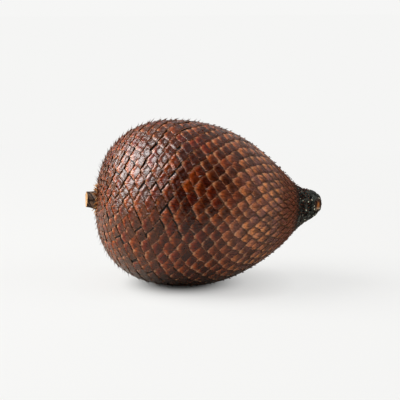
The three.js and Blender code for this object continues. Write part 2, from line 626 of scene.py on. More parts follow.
    def faces(self) -> tuple[np.ndarray, list[list[int]], int]:
        """Gives one scale's faces.

        Returns:
            The quads, the polygons that close the root and the tip, and the count of vertices.
        """
        rows, columns = self.rows, self.columns
        top = np.arange(rows * columns).reshape(rows, columns)
        under = rows * columns + np.arange(rows * 2).reshape(rows, 2)
        quads = [np.stack([top[:-1, :-1], top[1:, :-1], top[1:, 1:], top[:-1, 1:]], -1)
                 .reshape(-1, 4)]
        quads.append(np.stack([top[:-1, 0], under[:-1, 0], under[1:, 0], top[1:, 0]], -1))
        quads.append(np.stack([top[1:, -1], under[1:, 1], under[:-1, 1], top[:-1, -1]], -1))
        quads.append(np.stack([under[:-1, 1], under[1:, 1], under[1:, 0], under[:-1, 0]], -1))
        root = [*top[0].tolist(), int(under[0, 1]), int(under[0, 0])]
        tip = [*top[-1][::-1].tolist(), int(under[-1, 0]), int(under[-1, 1])]
        return np.concatenate(quads), [root, tip], rows * columns + rows * 2

    def build(self, seats: ScaleSeats, form: FruitForm) -> MeshParts:
        """Builds the plates of some scales.

        Args:
            seats: The scales' places.
            form: The fruit's form.

        Returns:
            The mesh, with attributes for the place on the scale and on the fruit.
        """
        u, q = self.grid()
        count = len(seats.s)
        relief = self.relief(seats, form)[:, None, None]
        width = (form.look(seats.s, "r") * seats.span)[:, None, None]
        pitch = seats.pitch[:, None, None]
        size = self.size(seats, form)[:, None, None]
        height, behind, edge = self.height(u[None], q[None], pitch, width, size)
        tilt, lean = seats.tilt[:, None, None], seats.lean[:, None, None]
        tall = (height + self.tilt * tilt + self.lean * lean * (u + q)) * relief
        many = [np.broadcast_to(a, (count, *u.shape)) for a in (u, q, behind, edge)]
        top = self.lay(seats, form, many[0], many[1], tall)
        sides = [a[:, :, [0, -1]] for a in many]
        under_height = tall[:, :, [0, -1]] - self.thickness * relief
        under = self.lay(seats, form, sides[0], sides[1] * self.under_width, under_height)
        points = np.concatenate([top.reshape(count, -1, 3), under.reshape(count, -1, 3)], axis=1)
        sides[3] = sides[3] - 1.0
        both = [np.concatenate([a.reshape(count, -1), b.reshape(count, -1)], axis=1)
                for a, b in zip(many, sides)]
        tones = [np.broadcast_to(seats.tone[:, i, None], both[0].shape) for i in (0, 1)]
        # how far each scale faces down, which sets the underside's painted shade
        down = -np.sin(seats.angle) * form.look(seats.s, "nr")
        below = np.broadcast_to(smoothstep(down, *self.underside_from)[:, None], both[0].shape)
        quads, ends, each = self.faces()
        shift = (np.arange(count) * each)[:, None, None]
        faces = (quads[None] + shift).reshape(-1, 4).tolist()
        faces += [[v + i * each for v in end] for i in range(count) for end in ends]
        side_quads = np.zeros(len(quads), bool)
        side_quads[(self.rows - 1) * (self.columns - 1):] = True
        flat = np.concatenate([np.tile(side_quads, count), np.ones(2 * count, bool)])
        return MeshParts(
            points=form.place(points),
            faces=faces,
            flat=flat,
            vectors={
                "place": np.stack([both[0], both[1], tones[0]], axis=-1),
                "edges": np.stack([both[2], both[3], tones[1]], axis=-1),
                "spot": np.stack([points[..., 0], below, 0 * below], axis=-1),
            },
        )


class Wax(Enum):
    """How much wax a band of scales has kept: the coat's weight and the index under it."""

    SHINY = (0.4, 1.4)
    DRY = (0.05, 1.3)


@dataclass(frozen=True)
class Band:
    """One band of scales: its name, where it ends, and what its scales have of their own."""

    name: str
    end_x: float
    fineness: int
    roundness: float
    dome: float
    wax: Wax = Wax.SHINY


@dataclass
class Prickles:
    """The thin bent cone on each scale's end, long at the round end and short toward the beak.

    Pairs are the least and the greatest share of a size that a prickle draws.
    """

    long: float = 1.2
    short: float = 0.5
    radius: float = 0.27
    tilt_deg: float = 38.0
    from_x: float = -4.0
    to_x: float = 12.0
    lengths: tuple[float, float] = (0.55, 1.15)
    tilts: tuple[float, float] = (0.5, 1.4)
    flatter: float = 0.45
    sway: float = 0.22
    seat: float = 0.93
    sink: float = 0.05
    bend: float = 0.35
    steps: tuple[float, ...] = (-0.35, 0.15, 0.55, 1.0)
    girth: tuple[float, ...] = (1.0, 0.72, 0.36, 0.06)
    sides: int = 5
    seed: int = 19

    def build(self, seats: ScaleSeats, shape: ScaleShape, form: FruitForm) -> MeshParts:
        """Builds all prickles.

        Args:
            seats: The scales' places.
            shape: The scales' shape.
            form: The fruit's form.

        Returns:
            The mesh.
        """
        rng = np.random.default_rng(self.seed)
        x = form.look(seats.s, "x")
        fade = smoothstep(x, self.from_x, self.to_x)
        length = self.long + (self.short - self.long) * fade
        length = length * rng.uniform(*self.lengths, len(x))
        tilt = self.tilt_deg * rng.uniform(*self.tilts, len(x)) * (1 - self.flatter * fade)
        tilt = np.radians(tilt)[:, None, None]
        sway = rng.normal(0.0, self.sway, len(x))[:, None, None]
        relief = shape.relief(seats, form)[:, None]
        tip_u = np.full((len(x), 1), shape.tip * self.seat)
        width = (form.look(seats.s, "r") * seats.span)[:, None]
        height, _, _ = shape.height(tip_u, np.zeros_like(tip_u), seats.pitch[:, None], width,
                                    shape.size(seats, form)[:, None])
        height = height * relief
        steps = np.array(self.steps)[None, :, None]
        turn = np.linspace(0, 2 * math.pi, self.sides, endpoint=False)
        along = length[:, None, None] * steps
        out = along * np.sin(tilt) * (1 + self.bend * steps)
        radius = self.radius * np.sqrt(relief)[:, :, None] * np.array(self.girth)[None, :, None]
        s = seats.s[:, None, None] + (tip_u * seats.pitch[:, None])[:, :, None]
        s = s + along * np.cos(tilt) + 0 * turn
        side = along * sway - radius * np.cos(turn)
        twisted = (np.sin(seats.twist) * tip_u[:, 0] * seats.pitch)[:, None, None]
        angle = seats.angle[:, None, None] + (side + twisted) / form.local_radius(s)
        tall = height[:, :, None] - self.sink + out + radius * np.sin(turn)
        points = form.surface(s, angle, tall)
        size = len(self.steps) * self.sides
        tube = tube_faces(len(self.steps), self.sides)
        faces = [[v + i * size for v in face] for i in range(len(x)) for face in tube]
        share = np.broadcast_to(steps, points.shape[:-1])
        return MeshParts(points=form.place(points), faces=faces,
                         vectors={"place": np.stack([share, share, share], axis=-1)})


@dataclass
class ScaleCoat:
    """All of the fruit's scales, in bands along it, and the prickles on their ends."""

    bands: tuple[Band, ...] = (
        Band("scales_stalk_end", -18.0, 13, 0.98, 0.0),
        Band("scales_round_end", -8.0, 15, 1.02, 0.0),
        Band("scales_middle", 5.0, 17, 1.12, 0.1),
        Band("scales_flank", 17.0, 17, 1.2, 0.35),
        Band("scales_shoulder", 28.0, 13, 1.3, 0.6),
        Band("scales_neck", math.inf, 9, 1.3, 0.6, Wax.DRY))
    lattice: ScaleLattice = field(default_factory=ScaleLattice)
    shape: ScaleShape = field(default_factory=ScaleShape)
    prickles: Prickles = field(default_factory=Prickles)

    def build(self, form: FruitForm, finishes: dict[Wax, bpy.types.Material],
              prickle_finish: bpy.types.Material) -> list[bpy.types.Object]:
        """Builds the coat.

        Args:
            form: The fruit's form.
            finishes: The scales' materials.
            prickle_finish: The prickles' material.

        Returns:
            The bands of scales and the prickles.
        """
        seats = self.lattice.seats(form)
        where, start, pieces = form.look(seats.s, "x"), -math.inf, []
        for band in self.bands:
            chosen = seats.pick((where >= start) & (where < band.end_x))
            shape = replace(self.shape, rows=band.fineness, columns=band.fineness,
                            roundness=band.roundness, dome=band.dome)
            plates = shape.build(chosen, form)
            pieces.append(plates.to_object(band.name, [finishes[band.wax]]))
            start = band.end_x
        spikes = self.prickles.build(seats, self.shape, form)
        return [*pieces, spikes.to_object("prickles", [prickle_finish])]


@dataclass
class UnderSkin:
    """The skin that the scales grow from, seen only in the cracks between them, near black as painted
    shade.
    """

    depth: float = 0.62
    least_depth: float = 0.5
    rings: int = 90
    around: int = 96
    first_radius: float = 0.6
    last_x: float = 41.0

    def build(self, form: FruitForm, finish: bpy.types.Material) -> bpy.types.Object:
        """Builds the skin as one closed body.

        Args:
            form: The fruit's form.
            finish: Its material.

        Returns:
            The object.
        """
        s = np.linspace(form.s_at_dome_radius(self.first_radius), form.s_at_x(self.last_x),
                        self.rings)[:, None]
        angle = np.linspace(0, 2 * math.pi, self.around, endpoint=False)[None]
        share = np.sqrt(form.look(s, "r") / form.max_radius).clip(self.least_depth, 1.0)
        points = form.surface(s + 0 * angle, angle + 0 * s, -self.depth * share + 0 * angle)
        return MeshParts(points=form.place(points), faces=tube_faces(self.rings, self.around)
                         ).to_object("under_skin", [finish])


# ---------------------------------------------------------------------------- the beak


@dataclass
class Beak:
    """The blackened beak: a crust, lumpy above and ridged below, with the flower's scar on its end.

    Distances from the scar's middle are shares of its half size. Seeds move the three noises. The
    dish's waves are their count round it, their share of its size and their start.
    """

    start_x: float = 33.4
    rings: int = 130
    around: int = 150
    lump: float = 0.42
    lump_size: float = 1.25
    lump_loss: float = 0.6
    ridge: float = 0.34
    ridge_size: float = 0.75
    ridge_stretch: float = 0.22
    ridge_least: float = 0.25
    grain: float = 0.10
    grain_size: float = 0.4
    seeds: tuple[float, float, float] = (3.1, 5.2, 8.7)
    below_turn: float = 0.2
    below_from: tuple[float, float] = (-0.4, 0.6)
    root_reach: float = 2.2
    root_relief: float = 0.6
    root_sink: float = 0.6
    end_reach: float = 0.7
    end_sink: float = 0.1
    scar_half: tuple[float, float] = (1.05, 1.4)
    scar_slope: float = 0.67
    scar_angle: float = 0.08
    scar_clear: tuple[float, float] = (0.9, 1.6)
    scar_hollow: tuple[float, float] = (0.9, 1.3)
    scar_depth: float = 0.22
    lip_at: float = 1.25
    lip_width: float = 0.25
    lip_height: float = 0.14
    dish_shares: tuple[float, ...] = (1.0, 1.0, 0.86, 0.6, 0.3, 0.08)
    dish_heights: tuple[float, ...] = (-0.5, 0.02, 0.07, -0.04, -0.07, -0.02)
    dish_waves: tuple[tuple[float, float, float], ...] = ((3.0, 0.07, 0.6), (5.0, 0.05, 0.0))
    dish_around: int = 48

    def scar_s(self, form: FruitForm) -> float:
        """Returns the scar's arc length, where the end turns away by the scar's slope."""
        last = np.nonzero(form.table["nx"] < self.scar_slope)[0][-1]
        return float(form.table["s"][last])

    def rise(self, smooth: np.ndarray, s: np.ndarray, below: np.ndarray) -> np.ndarray:
        """Gives the crust's height over the smooth skin, without the scar.

        Args:
            smooth: Points of the smooth skin.
            s: Their arc length.
            below: How far each is round on the ridged lower side, from 0 to 1.

        Returns:
            Heights in mm.
        """
        for_lumps, for_ridges, for_grain = self.seeds
        fibres = smooth * np.array([self.ridge_stretch, 1.0, 1.0])
        lumps = wobble(smooth, self.lump_size, for_lumps) * (1 - self.lump_loss * below)
        ridges = 0.5 - np.abs(wobble(fibres, self.ridge_size, for_ridges)) * 2
        ridges = ridges * (self.ridge_least + (1 - self.ridge_least) * below)
        rise = self.lump * lumps + self.ridge * ridges
        rise += self.grain * wobble(smooth, self.grain_size, for_grain)
        first, last = float(s[0, 0]), float(s[-1, 0])
        root = smoothstep(s, first, first + self.root_reach)
        rise = rise * (self.root_relief + (1 - self.root_relief) * root)
        rise = rise - self.root_sink * (1 - root)
        end = smoothstep(s, last - self.end_reach, last)
        return rise * (1 - end) - self.end_sink * end

    def build(self, form: FruitForm, crust: bpy.types.Material,
              scar: bpy.types.Material) -> list[bpy.types.Object]:
        """Builds the crust and the scar.

        Args:
            form: The fruit's form.
            crust: The crust's material.
            scar: The scar's material.

        Returns:
            The two objects.
        """
        s = np.linspace(form.s_at_x(self.start_x), form.s_at_x(form.tip_x), self.rings)[:, None]
        angle = np.linspace(0, 2 * math.pi, self.around, endpoint=False)[None]
        smooth = form.surface(s + 0 * angle, angle + 0 * s, 0 * s + 0 * angle)
        below = smoothstep(-np.sin(angle - self.below_turn), *self.below_from)
        turn = (angle - self.scar_angle + math.pi) % (2 * math.pi) - math.pi
        far = np.hypot((s - self.scar_s(form)) / self.scar_half[0],
                       turn * form.look(s, "r") / self.scar_half[1])
        lip = self.lip_height * np.exp(-(((far - self.lip_at) / self.lip_width) ** 2))
        hollow = self.scar_depth * (1 - smoothstep(far, *self.scar_hollow))
        rise = self.rise(smooth, s, below) * smoothstep(far, *self.scar_clear) + lip - hollow
        points = form.surface(s + 0 * angle, angle + 0 * s, rise)
        shown = np.stack([rise, far, below + 0 * s], axis=-1)
        crust_piece = MeshParts(points=form.place(points), faces=tube_faces(self.rings, self.around),
                                vectors={"place": shown}).to_object("beak", [crust])
        return [crust_piece, self.scar(form, scar)]

    def scar(self, form: FruitForm, finish: bpy.types.Material) -> bpy.types.Object:
        """Builds the scar, a shallow uneven oval dish that faces the end's front side.

        Args:
            form: The fruit's form.
            finish: Its material.

        Returns:
            The object.
        """
        share, height = np.array(self.dish_shares)[:, None], np.array(self.dish_heights)[:, None]
        turn = np.linspace(0, 2 * math.pi, self.dish_around, endpoint=False)[None]
        uneven = 1 + sum(size * np.sin(count * turn + start)
                         for count, size, start in self.dish_waves)
        s = self.scar_s(form) + share * self.scar_half[0] * np.cos(turn) * uneven
        rise = -share * self.scar_half[1] * np.sin(turn) * uneven
        angle = self.scar_angle + rise / form.look(s, "r")
        points = form.surface(s, angle, height + 0 * turn)
        shown = np.stack(np.broadcast_arrays(share, rise, turn), axis=-1)
        return MeshParts(points=form.place(points), faces=tube_faces(len(share), self.dish_around),
                         vectors={"place": shown}).to_object("beak_scar", [finish])


# ---------------------------------------------------------------------------- the stalk


@dataclass
class StalkStub:
    """The short stub of stalk: a ridged, fibrous taper with a pale cut face."""

    drop: float = 0.75
    seat_gap: float = 0.3
    seat_radius: float = 4.6
    length: float = 2.9
    foot_radius: float = 2.9
    end_radius: float = 2.3
    taper_power: float = 2.2
    cut_turn_deg: float = 7.0
    sink: float = 1.6
    rings: int = 26
    around: int = 90
    ridges: tuple[int, ...] = (5, 11, 17)
    ridge_rise: tuple[float, ...] = (0.12, 0.08, 0.06)
    ridge_start: float = 0.9
    ridge_lean: float = 1.1
    end_smoothing: float = 0.35
    lip: tuple[float, ...] = (0.96, 0.88, 0.66, 0.4, 0.14)
    dip: tuple[float, ...] = (0.02, -0.06, -0.1, -0.07, -0.04)

    def foot_x(self, form: FruitForm) -> float:
        """Returns where the stub's foot is along the axis."""
        turn = math.asin((self.seat_radius / form.flank_radius(0.0)) ** (form.dome_power / 2))
        return -form.base_depth * math.cos(turn) ** (2 / form.dome_power) - self.seat_gap

    def build(self, form: FruitForm, bark: bpy.types.Material,
              cut: bpy.types.Material) -> bpy.types.Object:
        """Builds the stub with its cut face.

        Args:
            form: The fruit's form.
            bark: The side's material.
            cut: The cut face's material.

        Returns:
            The object.
        """
        share = np.linspace(0, 1, self.rings)[:, None]
        turn = np.linspace(0, 2 * math.pi, self.around, endpoint=False)[None]
        along = -self.sink + (self.sink + self.length) * share
        part = np.clip(along / self.length, 0, 1)
        widening = (self.foot_radius - self.end_radius) * (1 - part) ** self.taper_power
        fibre = sum(rise * np.sin(count * (turn + self.ridge_start) + self.ridge_lean * part * order)
                    for order, (count, rise) in enumerate(zip(self.ridges, self.ridge_rise), 1))
        radius = self.end_radius + widening + fibre * (1 - self.end_smoothing * part)
        slope = math.tan(math.radians(self.cut_turn_deg))
        y, z = -radius * np.cos(turn), radius * np.sin(turn)
        x = self.foot_x(form) - along - np.maximum(2 * part - 1, 0.0) * y * slope
        side = np.stack([x, y, z - self.drop], axis=-1)
        lip, dip = np.array(self.lip)[:, None], np.array(self.dip)[:, None]
        flat_y, flat_z = y[-1:] * lip, z[-1:] * lip
        face_x = self.foot_x(form) - self.length - dip - flat_y * slope
        face = np.stack([face_x, flat_y, flat_z - self.drop], axis=-1)
        points = np.concatenate([side, face])
        faces = [face[::-1] for face in tube_faces(len(points), self.around)]
        # the cut face takes the second material, and the foot's cap the first
        slots = np.zeros(len(faces), int)
        slots[(self.rings - 1) * self.around:] = 1
        slots[-2] = 0
        radial = np.hypot(points[..., 1], points[..., 2] + self.drop)
        turned = np.broadcast_to(turn / (2 * math.pi), radial.shape)
        depth = np.broadcast_to(points[..., 0] - self.foot_x(form), radial.shape)
        return MeshParts(points=form.place(points), faces=faces, slots=slots,
                         vectors={"place": np.stack([radial, turned, depth], axis=-1)}
                         ).to_object("stalk_stub", [bark, cut])


@dataclass
class Bracts:
    """The ragged dry bracts round the stub's foot, alternately in an inner and an outer row.

    What is named for the row holds the inner row's value and the outer row's. The other pairs are
    the least and the greatest value that a bract draws.
    """

    count: int = 34
    row_radius: tuple[float, float] = (2.6, 3.5)
    row_reach: tuple[float, float] = (0.85, 1.0)
    row_lift: tuple[tuple[float, float], tuple[float, float]] = ((0.5, 1.1), (0.3, 0.8))
    aside: tuple[float, float] = (-0.6, 0.6)
    outward: tuple[float, float] = (-0.3, 0.3)
    reach: tuple[float, float] = (0.5, 1.8)
    bend: tuple[float, float] = (-0.5, 0.5)
    half_widths: tuple[float, ...] = (0.44, 0.48, 0.36, 0.08)
    half_thickness: float = 0.07
    sink: float = 0.35
    curl: float = 0.8
    curl_lift: float = 1.6
    edge_drop: float = 0.12
    seed: int = 5

    def faces(self, first: int) -> list[tuple[int, ...]]:
        """Gives one bract's faces.

        Args:
            first: The number of its first vertex.

        Returns:
            The faces of a strip two quads wide, with a top and an underside, closed all round.
        """
        ring = 6
        faces: list[tuple[int, ...]] = []
        for low in range(first, first + (len(self.half_widths) - 1) * ring, ring):
            high = low + ring
            for column in (0, 2):
                faces.append((low + column, high + column, high + column + 2, low + column + 2))
                faces.append((low + column + 1, low + column + 3, high + column + 3,
                              high + column + 1))
            faces.append((low, low + 1, high + 1, high))
            faces.append((low + 4, high + 4, high + 5, low + 5))
        end = first + (len(self.half_widths) - 1) * ring
        return faces + [(first, first + 2, first + 3, first + 1),
                        (first + 2, first + 4, first + 5, first + 3),
                        (end, end + 1, end + 3, end + 2), (end + 2, end + 3, end + 5, end + 4)]

    def build(self, form: FruitForm, finish: bpy.types.Material) -> bpy.types.Object:
        """Builds all bracts.

        Args:
            form: The fruit's form.
            finish: Their material.

        Returns:
            The object.
        """
        rng = np.random.default_rng(self.seed)
        points, faces, shown = [], [], []
        for i in range(self.count):
            row = i % 2
            turn = 2 * math.pi * (i + rng.uniform(*self.aside)) / self.count
            base = self.row_radius[row] + rng.uniform(*self.outward)
            reach = rng.uniform(*self.reach) * self.row_reach[row]
            lift = rng.uniform(*self.row_lift[row])
            bend = rng.uniform(*self.bend)
            faces += self.faces(len(points))
            for step, half_width in enumerate(self.half_widths):
                part = step / (len(self.half_widths) - 1)
                radius = base + reach * part
                tall = lift * part**self.curl * self.curl_lift - self.sink
                for side in (-1, 0, 1):
                    angle = turn + (side * half_width + bend * part) / radius
                    for layer in (self.half_thickness, -self.half_thickness):
                        height = tall + layer - self.edge_drop * abs(side)
                        points.append(form.surface(form.s_at_dome_radius(radius), angle, height))
                        shown.append((part, side, i))
        return MeshParts(points=form.place(np.array(points)), faces=faces,
                         vectors={"place": np.array(shown)}).to_object("bracts", [finish])


# ---------------------------------------------------------------------------- finishes


Values = dict[str, bpy.types.NodeSocket]


@dataclass(frozen=True)
class Fade:
    """A change from ``before`` to ``after`` while the value named ``of`` goes from start to end.

    Start, end, before and after are numbers, or the names of other values.
    """

    name: str
    of: str
    start: float | str
    end: float | str
    before: float | str = 0.0
    after: float | str = 1.0
    smooth: bool = False


@dataclass(frozen=True)
class Finish:
    """What every finish has, and how it works out the values that it is painted by.

    Places are an attribute of the mesh and its parts' names. Patterns are a name, a size in mm, a
    detail and a roughness. Sums are a name and the weights of other values.
    """

    name: str = "plain"
    roughness: float = 0.5
    ior: float = 1.45
    places: tuple[tuple[str, ...], ...] = ()
    patterns: tuple[tuple[str, float, float, float], ...] = ()
    sums: tuple[tuple[str, dict[str, float]], ...] = ()
    fades: tuple[Fade, ...] = ()

    def add_own(self, tree: bpy.types.NodeTree, values: Values) -> None:
        """Adds the values that only this finish has, before the sums."""

    def inputs(self, tree: bpy.types.NodeTree, values: Values) -> dict[str, Any]:
        """Returns the inputs that the finish gives its shader."""
        raise NotImplementedError

    def work_out(self, tree: bpy.types.NodeTree) -> Values:
        """Works out the finish's values.

        Args:
            tree: The material's node tree.

        Returns:
            Places, patterns, sums and fades by name.
        """
        values: Values = {}
        for attribute, *names in self.places:
            whole = add_node(tree, "Attribute", attribute_name=attribute).outputs["Vector"]
            values |= zip(names, add_node(tree, "SeparateXYZ", {0: whole}).outputs)
        values["coords"] = add_node(tree, "TexCoord").outputs["Object"]
        for name, size, detail, roughness in self.patterns:
            values[name] = add_node(tree, "TexNoise", {
                "Vector": values["coords"], "Scale": 1 / (size * MM), "Detail": detail,
                "Roughness": roughness}).outputs[0]
        self.add_own(tree, values)
        for name, weights in self.sums:
            total: Any = 0.0
            for part, weight in weights.items():
                total = add_node(tree, "Math", {0: values[part], 1: weight, 2: total},
                                 operation="MULTIPLY_ADD").outputs[0]
            values[name] = total
        for fade in self.fades:
            ends = (fade.of, fade.start, fade.end, fade.before, fade.after)
            values[fade.name] = add_node(
                tree, "MapRange", {i: values.get(end, end) for i, end in enumerate(ends)},
                interpolation_type="SMOOTHSTEP" if fade.smooth else "LINEAR").outputs[0]
        return values

    def paint(self, tree: bpy.types.NodeTree, values: Values, under: Any,
              layers: Sequence[tuple[str, str]]) -> Any:
        """Lays colours one over the other.

        Args:
            tree: The material's node tree.
            values: The finish's values by name.
            under: The colour under them all.
            layers: For each layer the name of its share, and its hex colour or a value's name.

        Returns:
            The colour that they make.
        """
        for share, colour in layers:
            over = values[colour] if colour in values else linear(colour)
            under = add_node(tree, "Mix", {0: values[share], 6: under, 7: over},
                             data_type="RGBA").outputs[2]
        return under

    def material(self) -> bpy.types.Material:
        """Makes the material.

        Returns:
            The material, with one shader.
        """
        material, tree = empty_material(self.name)
        inputs = {"Roughness": self.roughness, "IOR": self.ior,
                  **self.inputs(tree, self.work_out(tree))}
        shader = add_node(tree, "BsdfPrincipled", inputs)
        add_node(tree, "OutputMaterial", {0: shader.outputs[0]})
        return material


@dataclass(frozen=True)
class ScaleFinish(Finish):
    """Horny scale, dried and waxy: dark red-brown with a tan rim, a smooth sharp shine.

    Values along and across a scale and inward from its free edge are shares of it. The value behind
    is mm out from the scales behind, and x is mm along the fruit.
    """

    name: str = "snake_fruit_scale_waxed"
    roughness: float = 0.22
    wax: Wax = Wax.SHINY
    wax_roughness: float = 0.1
    red: str = "701d05"
    end_colour: str = "4a3020"
    tone_shift: float = 40.0
    streaks_across: float = 5.0
    streak_scale: float = 1.6
    fan_focus: float = 1.2
    fan_scale: float = 6.0
    gap_dullness: float = 0.5
    bump_strength: float = 0.5
    bump_height: float = 0.12
    places: tuple[tuple[str, ...], ...] = (("place", "along", "across", "tone"),
                                           ("edges", "behind", "inward", "end_tone"),
                                           ("spot", "x", "below"))
    patterns: tuple[tuple[str, float, float, float], ...] = (
        # blotches a few scales wide
        ("blotch", 9.09, 2.0, 0.5),
        # mottling, uneven like dried wax
        ("mottle", 0.714, 3.0, 0.65),
        # patches of bloom
        ("patch", 3.03, 2.0, 0.5),
        # fibres and pits, coarser than the real 0.1 mm so that they show
        ("fibre", 0.5, 3.0, 0.5))
    sums: tuple[tuple[str, dict[str, float]], ...] = (
        ("mood", {"tone": 1.0, "blotch": 1.0}),
        ("to_end", {"along": 1.0, "aside": 0.4, "end_tone": 0.45, "mottle": 0.7}),
        ("off_corner", {"behind": 1.0, "aside": 9.0}),
        ("to_beak", {"x": 1.0, "blotch": 3.0, "along": 1.5}),
        ("uneven", {"mottle": 1.0, "streak": 1.0}),
        ("relief", {"fibre": 1.0, "fan": 3.2}))
    fades: tuple[Fade, ...] = (
        # each scale is redder or warmer
        Fade("warmth", "mood", 0.6, 1.4),
        # tan toward the beak, on some scales more than on others
        Fade("most_tan", "mood", 0.6, 1.4, 0.55, 0.95),
        Fade("tan", "x", 5.0, 26.0, 0.0, "most_tan", smooth=True),
        # the base is paler, and the hollow behind it a darker red,
        # partly its own colour and partly painted shade in the dish
        Fade("palest", "x", -10.0, 2.0, 0.2, 0.34),
        Fade("base", "behind", 0.3, 1.3, "palest", 0.0, smooth=True),
        Fade("hollow", "behind", 0.7, 1.5, 0.0, 0.6, smooth=True),
        # the free end is dark, by a different amount on each scale
        Fade("most_end", "end_tone", 0.0, 1.0, 0.5, 0.85),
        Fade("end", "to_end", 0.56, 0.88, 0.0, "most_end", smooth=True),
        Fade("off_stalk", "x", -16.0, -5.0),
        # a tan rim, worn off in places, where the scale comes out from under the ones behind;
        # its pale pink is partly its own colour and partly a painted highlight on the raised rim
        Fade("worn", "streak", 0.36, 0.62, 0.05, 0.38),
        Fade("rim", "behind", 0.2, 0.42, "worn", 0.0, smooth=True),
        # the free edge is pale, and toward the beak a dark band inside it is painted shade
        # on the side of each domed scale away from the light
        Fade("edge", "inward", 0.01, 0.05, 0.3, 0.0, smooth=True),
        Fade("edge_shade", "inward", 0.04, 0.4, "tan", 0.0, smooth=True),
        # mauve bloom in patches, on the part toward the beak
        Fade("most_bloom", "tan", 0.0, 1.0, 0.0, 0.52),
        Fade("bloom", "patch", 0.4, 0.62, 0.0, "most_bloom"),
        # browner over the last stretch
        Fade("brown", "x", 24.0, 32.5, 0.0, 0.88, smooth=True),
        # mottled and streaked
        Fade("shade", "uneven", 0.75, 1.25, 0.45, 1.5),
        # painted shade: darker on the underside, where the skin faces down
        Fade("underside_shade", "below", 0.0, 1.0, 0.0, 0.85),
        # painted glints: pale spots at the corners where the rim's two sides meet
        Fade("corner", "off_corner", 0.3, 0.9, 0.36, 0.0, smooth=True),
        # painted shade: a deep dark line at the scales behind, and a dark wall under the scale's own
        # edge
        Fade("gap_width", "x", 20.0, 31.0, 0.16, 1.2),
        Fade("most_gap", "x", -4.0, 10.0, 1.0, 0.85),
        Fade("gap", "behind", -0.22, "gap_width", "most_gap", 0.0, smooth=True),
        Fade("wall", "inward", -0.9, -0.35, 0.95, 0.0),
        # scorched next to the beak, the bases last
        Fade("scorch", "to_beak", 34.4, 36.4, smooth=True),
        # rough and smooth by the fibres, and smoother where the end is rubbed
        Fade("fibre_rough", "fibre", 0.3, 0.7, -0.06, 0.08),
        Fade("rubbed", "along", -0.1, 0.35, 0.0, -0.1))
    end_layers: tuple[tuple[str, str], ...] = (("off_stalk", "220a04"), ("tan", "422823"))
    # the hollow and the rim are partly painted shade and highlight, the edge shade and the wall
    # painted shade
    layers: tuple[tuple[str, str], ...] = (
        ("warmth", "94400c"), ("tan", "ee985a"), ("base", "a65c38"), ("hollow", "3e0b03"),
        ("end", "end_colour"), ("rim", "d89c7c"), ("edge", "a87244"), ("edge_shade", "2c1913"),
        ("wall", "3e0b03"), ("bloom", "9a625c"), ("brown", "6c3218"))
    # painted shade on the underside and in the gaps, painted glints at the corners, and the scorch
    last_layers: tuple[tuple[str, str], ...] = (
        ("underside_shade", "26120b"), ("corner", "dca878"), ("gap", "120502"), ("scorch", "11100e"))

    def add_own(self, tree: bpy.types.NodeTree, values: Values) -> None:
        """Adds the streaks along each scale and the lines that fan out from its tip.

        Args:
            tree: The material's node tree.
            values: The finish's values by name, which they join.
        """
        along, across = values["along"], values["across"]
        own = add_node(tree, "Math", {0: values["tone"], 1: self.tone_shift},
                       operation="MULTIPLY")
        lines = add_node(tree, "Math", {0: across, 1: self.streaks_across}, operation="MULTIPLY")
        lengthwise = add_node(tree, "CombineXYZ", {0: along, 1: lines.outputs[0],
                                                   2: own.outputs[0]})
        streak = add_node(tree, "TexNoise", {"Vector": lengthwise.outputs[0],
                                             "Scale": self.streak_scale, "Detail": 2.0})
        # the fan's lines are 0.4 mm apart, coarser than the real ones so that they show
        ahead = add_node(tree, "Math", {0: self.fan_focus, 1: along}, operation="SUBTRACT")
        slope = add_node(tree, "Math", {0: across, 1: ahead.outputs[0]}, operation="DIVIDE")
        rays = add_node(tree, "CombineXYZ", {0: slope.outputs[0], 1: own.outputs[0]})
        fan = add_node(tree, "TexNoise", {"Vector": rays.outputs[0], "Scale": self.fan_scale,
                                          "Detail": 1.0})
        aside = add_node(tree, "Math", {0: across, 1: across}, operation="MULTIPLY")
        values |= {"streak": streak.outputs[0], "fan": fan.outputs[0], "aside": aside.outputs[0]}

    def inputs(self, tree: bpy.types.NodeTree, values: Values) -> dict[str, Any]:
        """Works out the colour, the wax's shine and the fine relief.

        Args:
            tree: The material's node tree.
            values: The finish's values by name.

        Returns:
            The shader's inputs.
        """
        values["end_colour"] = self.paint(tree, values, linear(self.end_colour), self.end_layers)
        body = self.paint(tree, values, linear(self.red), self.layers)
        shaded = add_node(tree, "Mix", {0: 1.0, 6: body, 7: values["shade"]}, data_type="RGBA",
                          blend_type="MULTIPLY")
        colour = self.paint(tree, values, shaded.outputs[2], self.last_layers)
        # the gaps are dull
        gaps = add_node(tree, "Math", {0: values["gap"], 1: values["wall"]}, operation="MAXIMUM")
        rough = add_node(tree, "Math", {0: values["fibre_rough"], 1: values["rubbed"]})
        rough = add_node(tree, "Math", {0: gaps.outputs[0], 1: self.gap_dullness,
                                        2: rough.outputs[0]}, operation="MULTIPLY_ADD")
        rough = add_node(tree, "Math", {0: rough.outputs[0], 1: self.roughness})
        bump = add_node(tree, "Bump", {"Height": values["relief"], "Strength": self.bump_strength,
                                       "Distance": self.bump_height * MM})
        coat, index = self.wax.value
        return {"Base Color": colour, "Roughness": rough.outputs[0], "Normal": bump.outputs[0],
                "IOR": index, "Coat Weight": coat, "Coat Roughness": self.wax_roughness}


@dataclass(frozen=True)
class UnderSkinFinish(Finish):
    """Dry, dull skin, painted almost black as shade so the cracks between scales read as deep."""

    name: str = "under_skin_painted_shade"
    roughness: float = 0.8
    ior: float = 1.4
    # near black: painted shade in the cracks between scales
    skin: str = "140904"

    def inputs(self, tree: bpy.types.NodeTree, values: Values) -> dict[str, Any]:
        """Returns the colour."""
        return {"Base Color": linear(self.skin)}


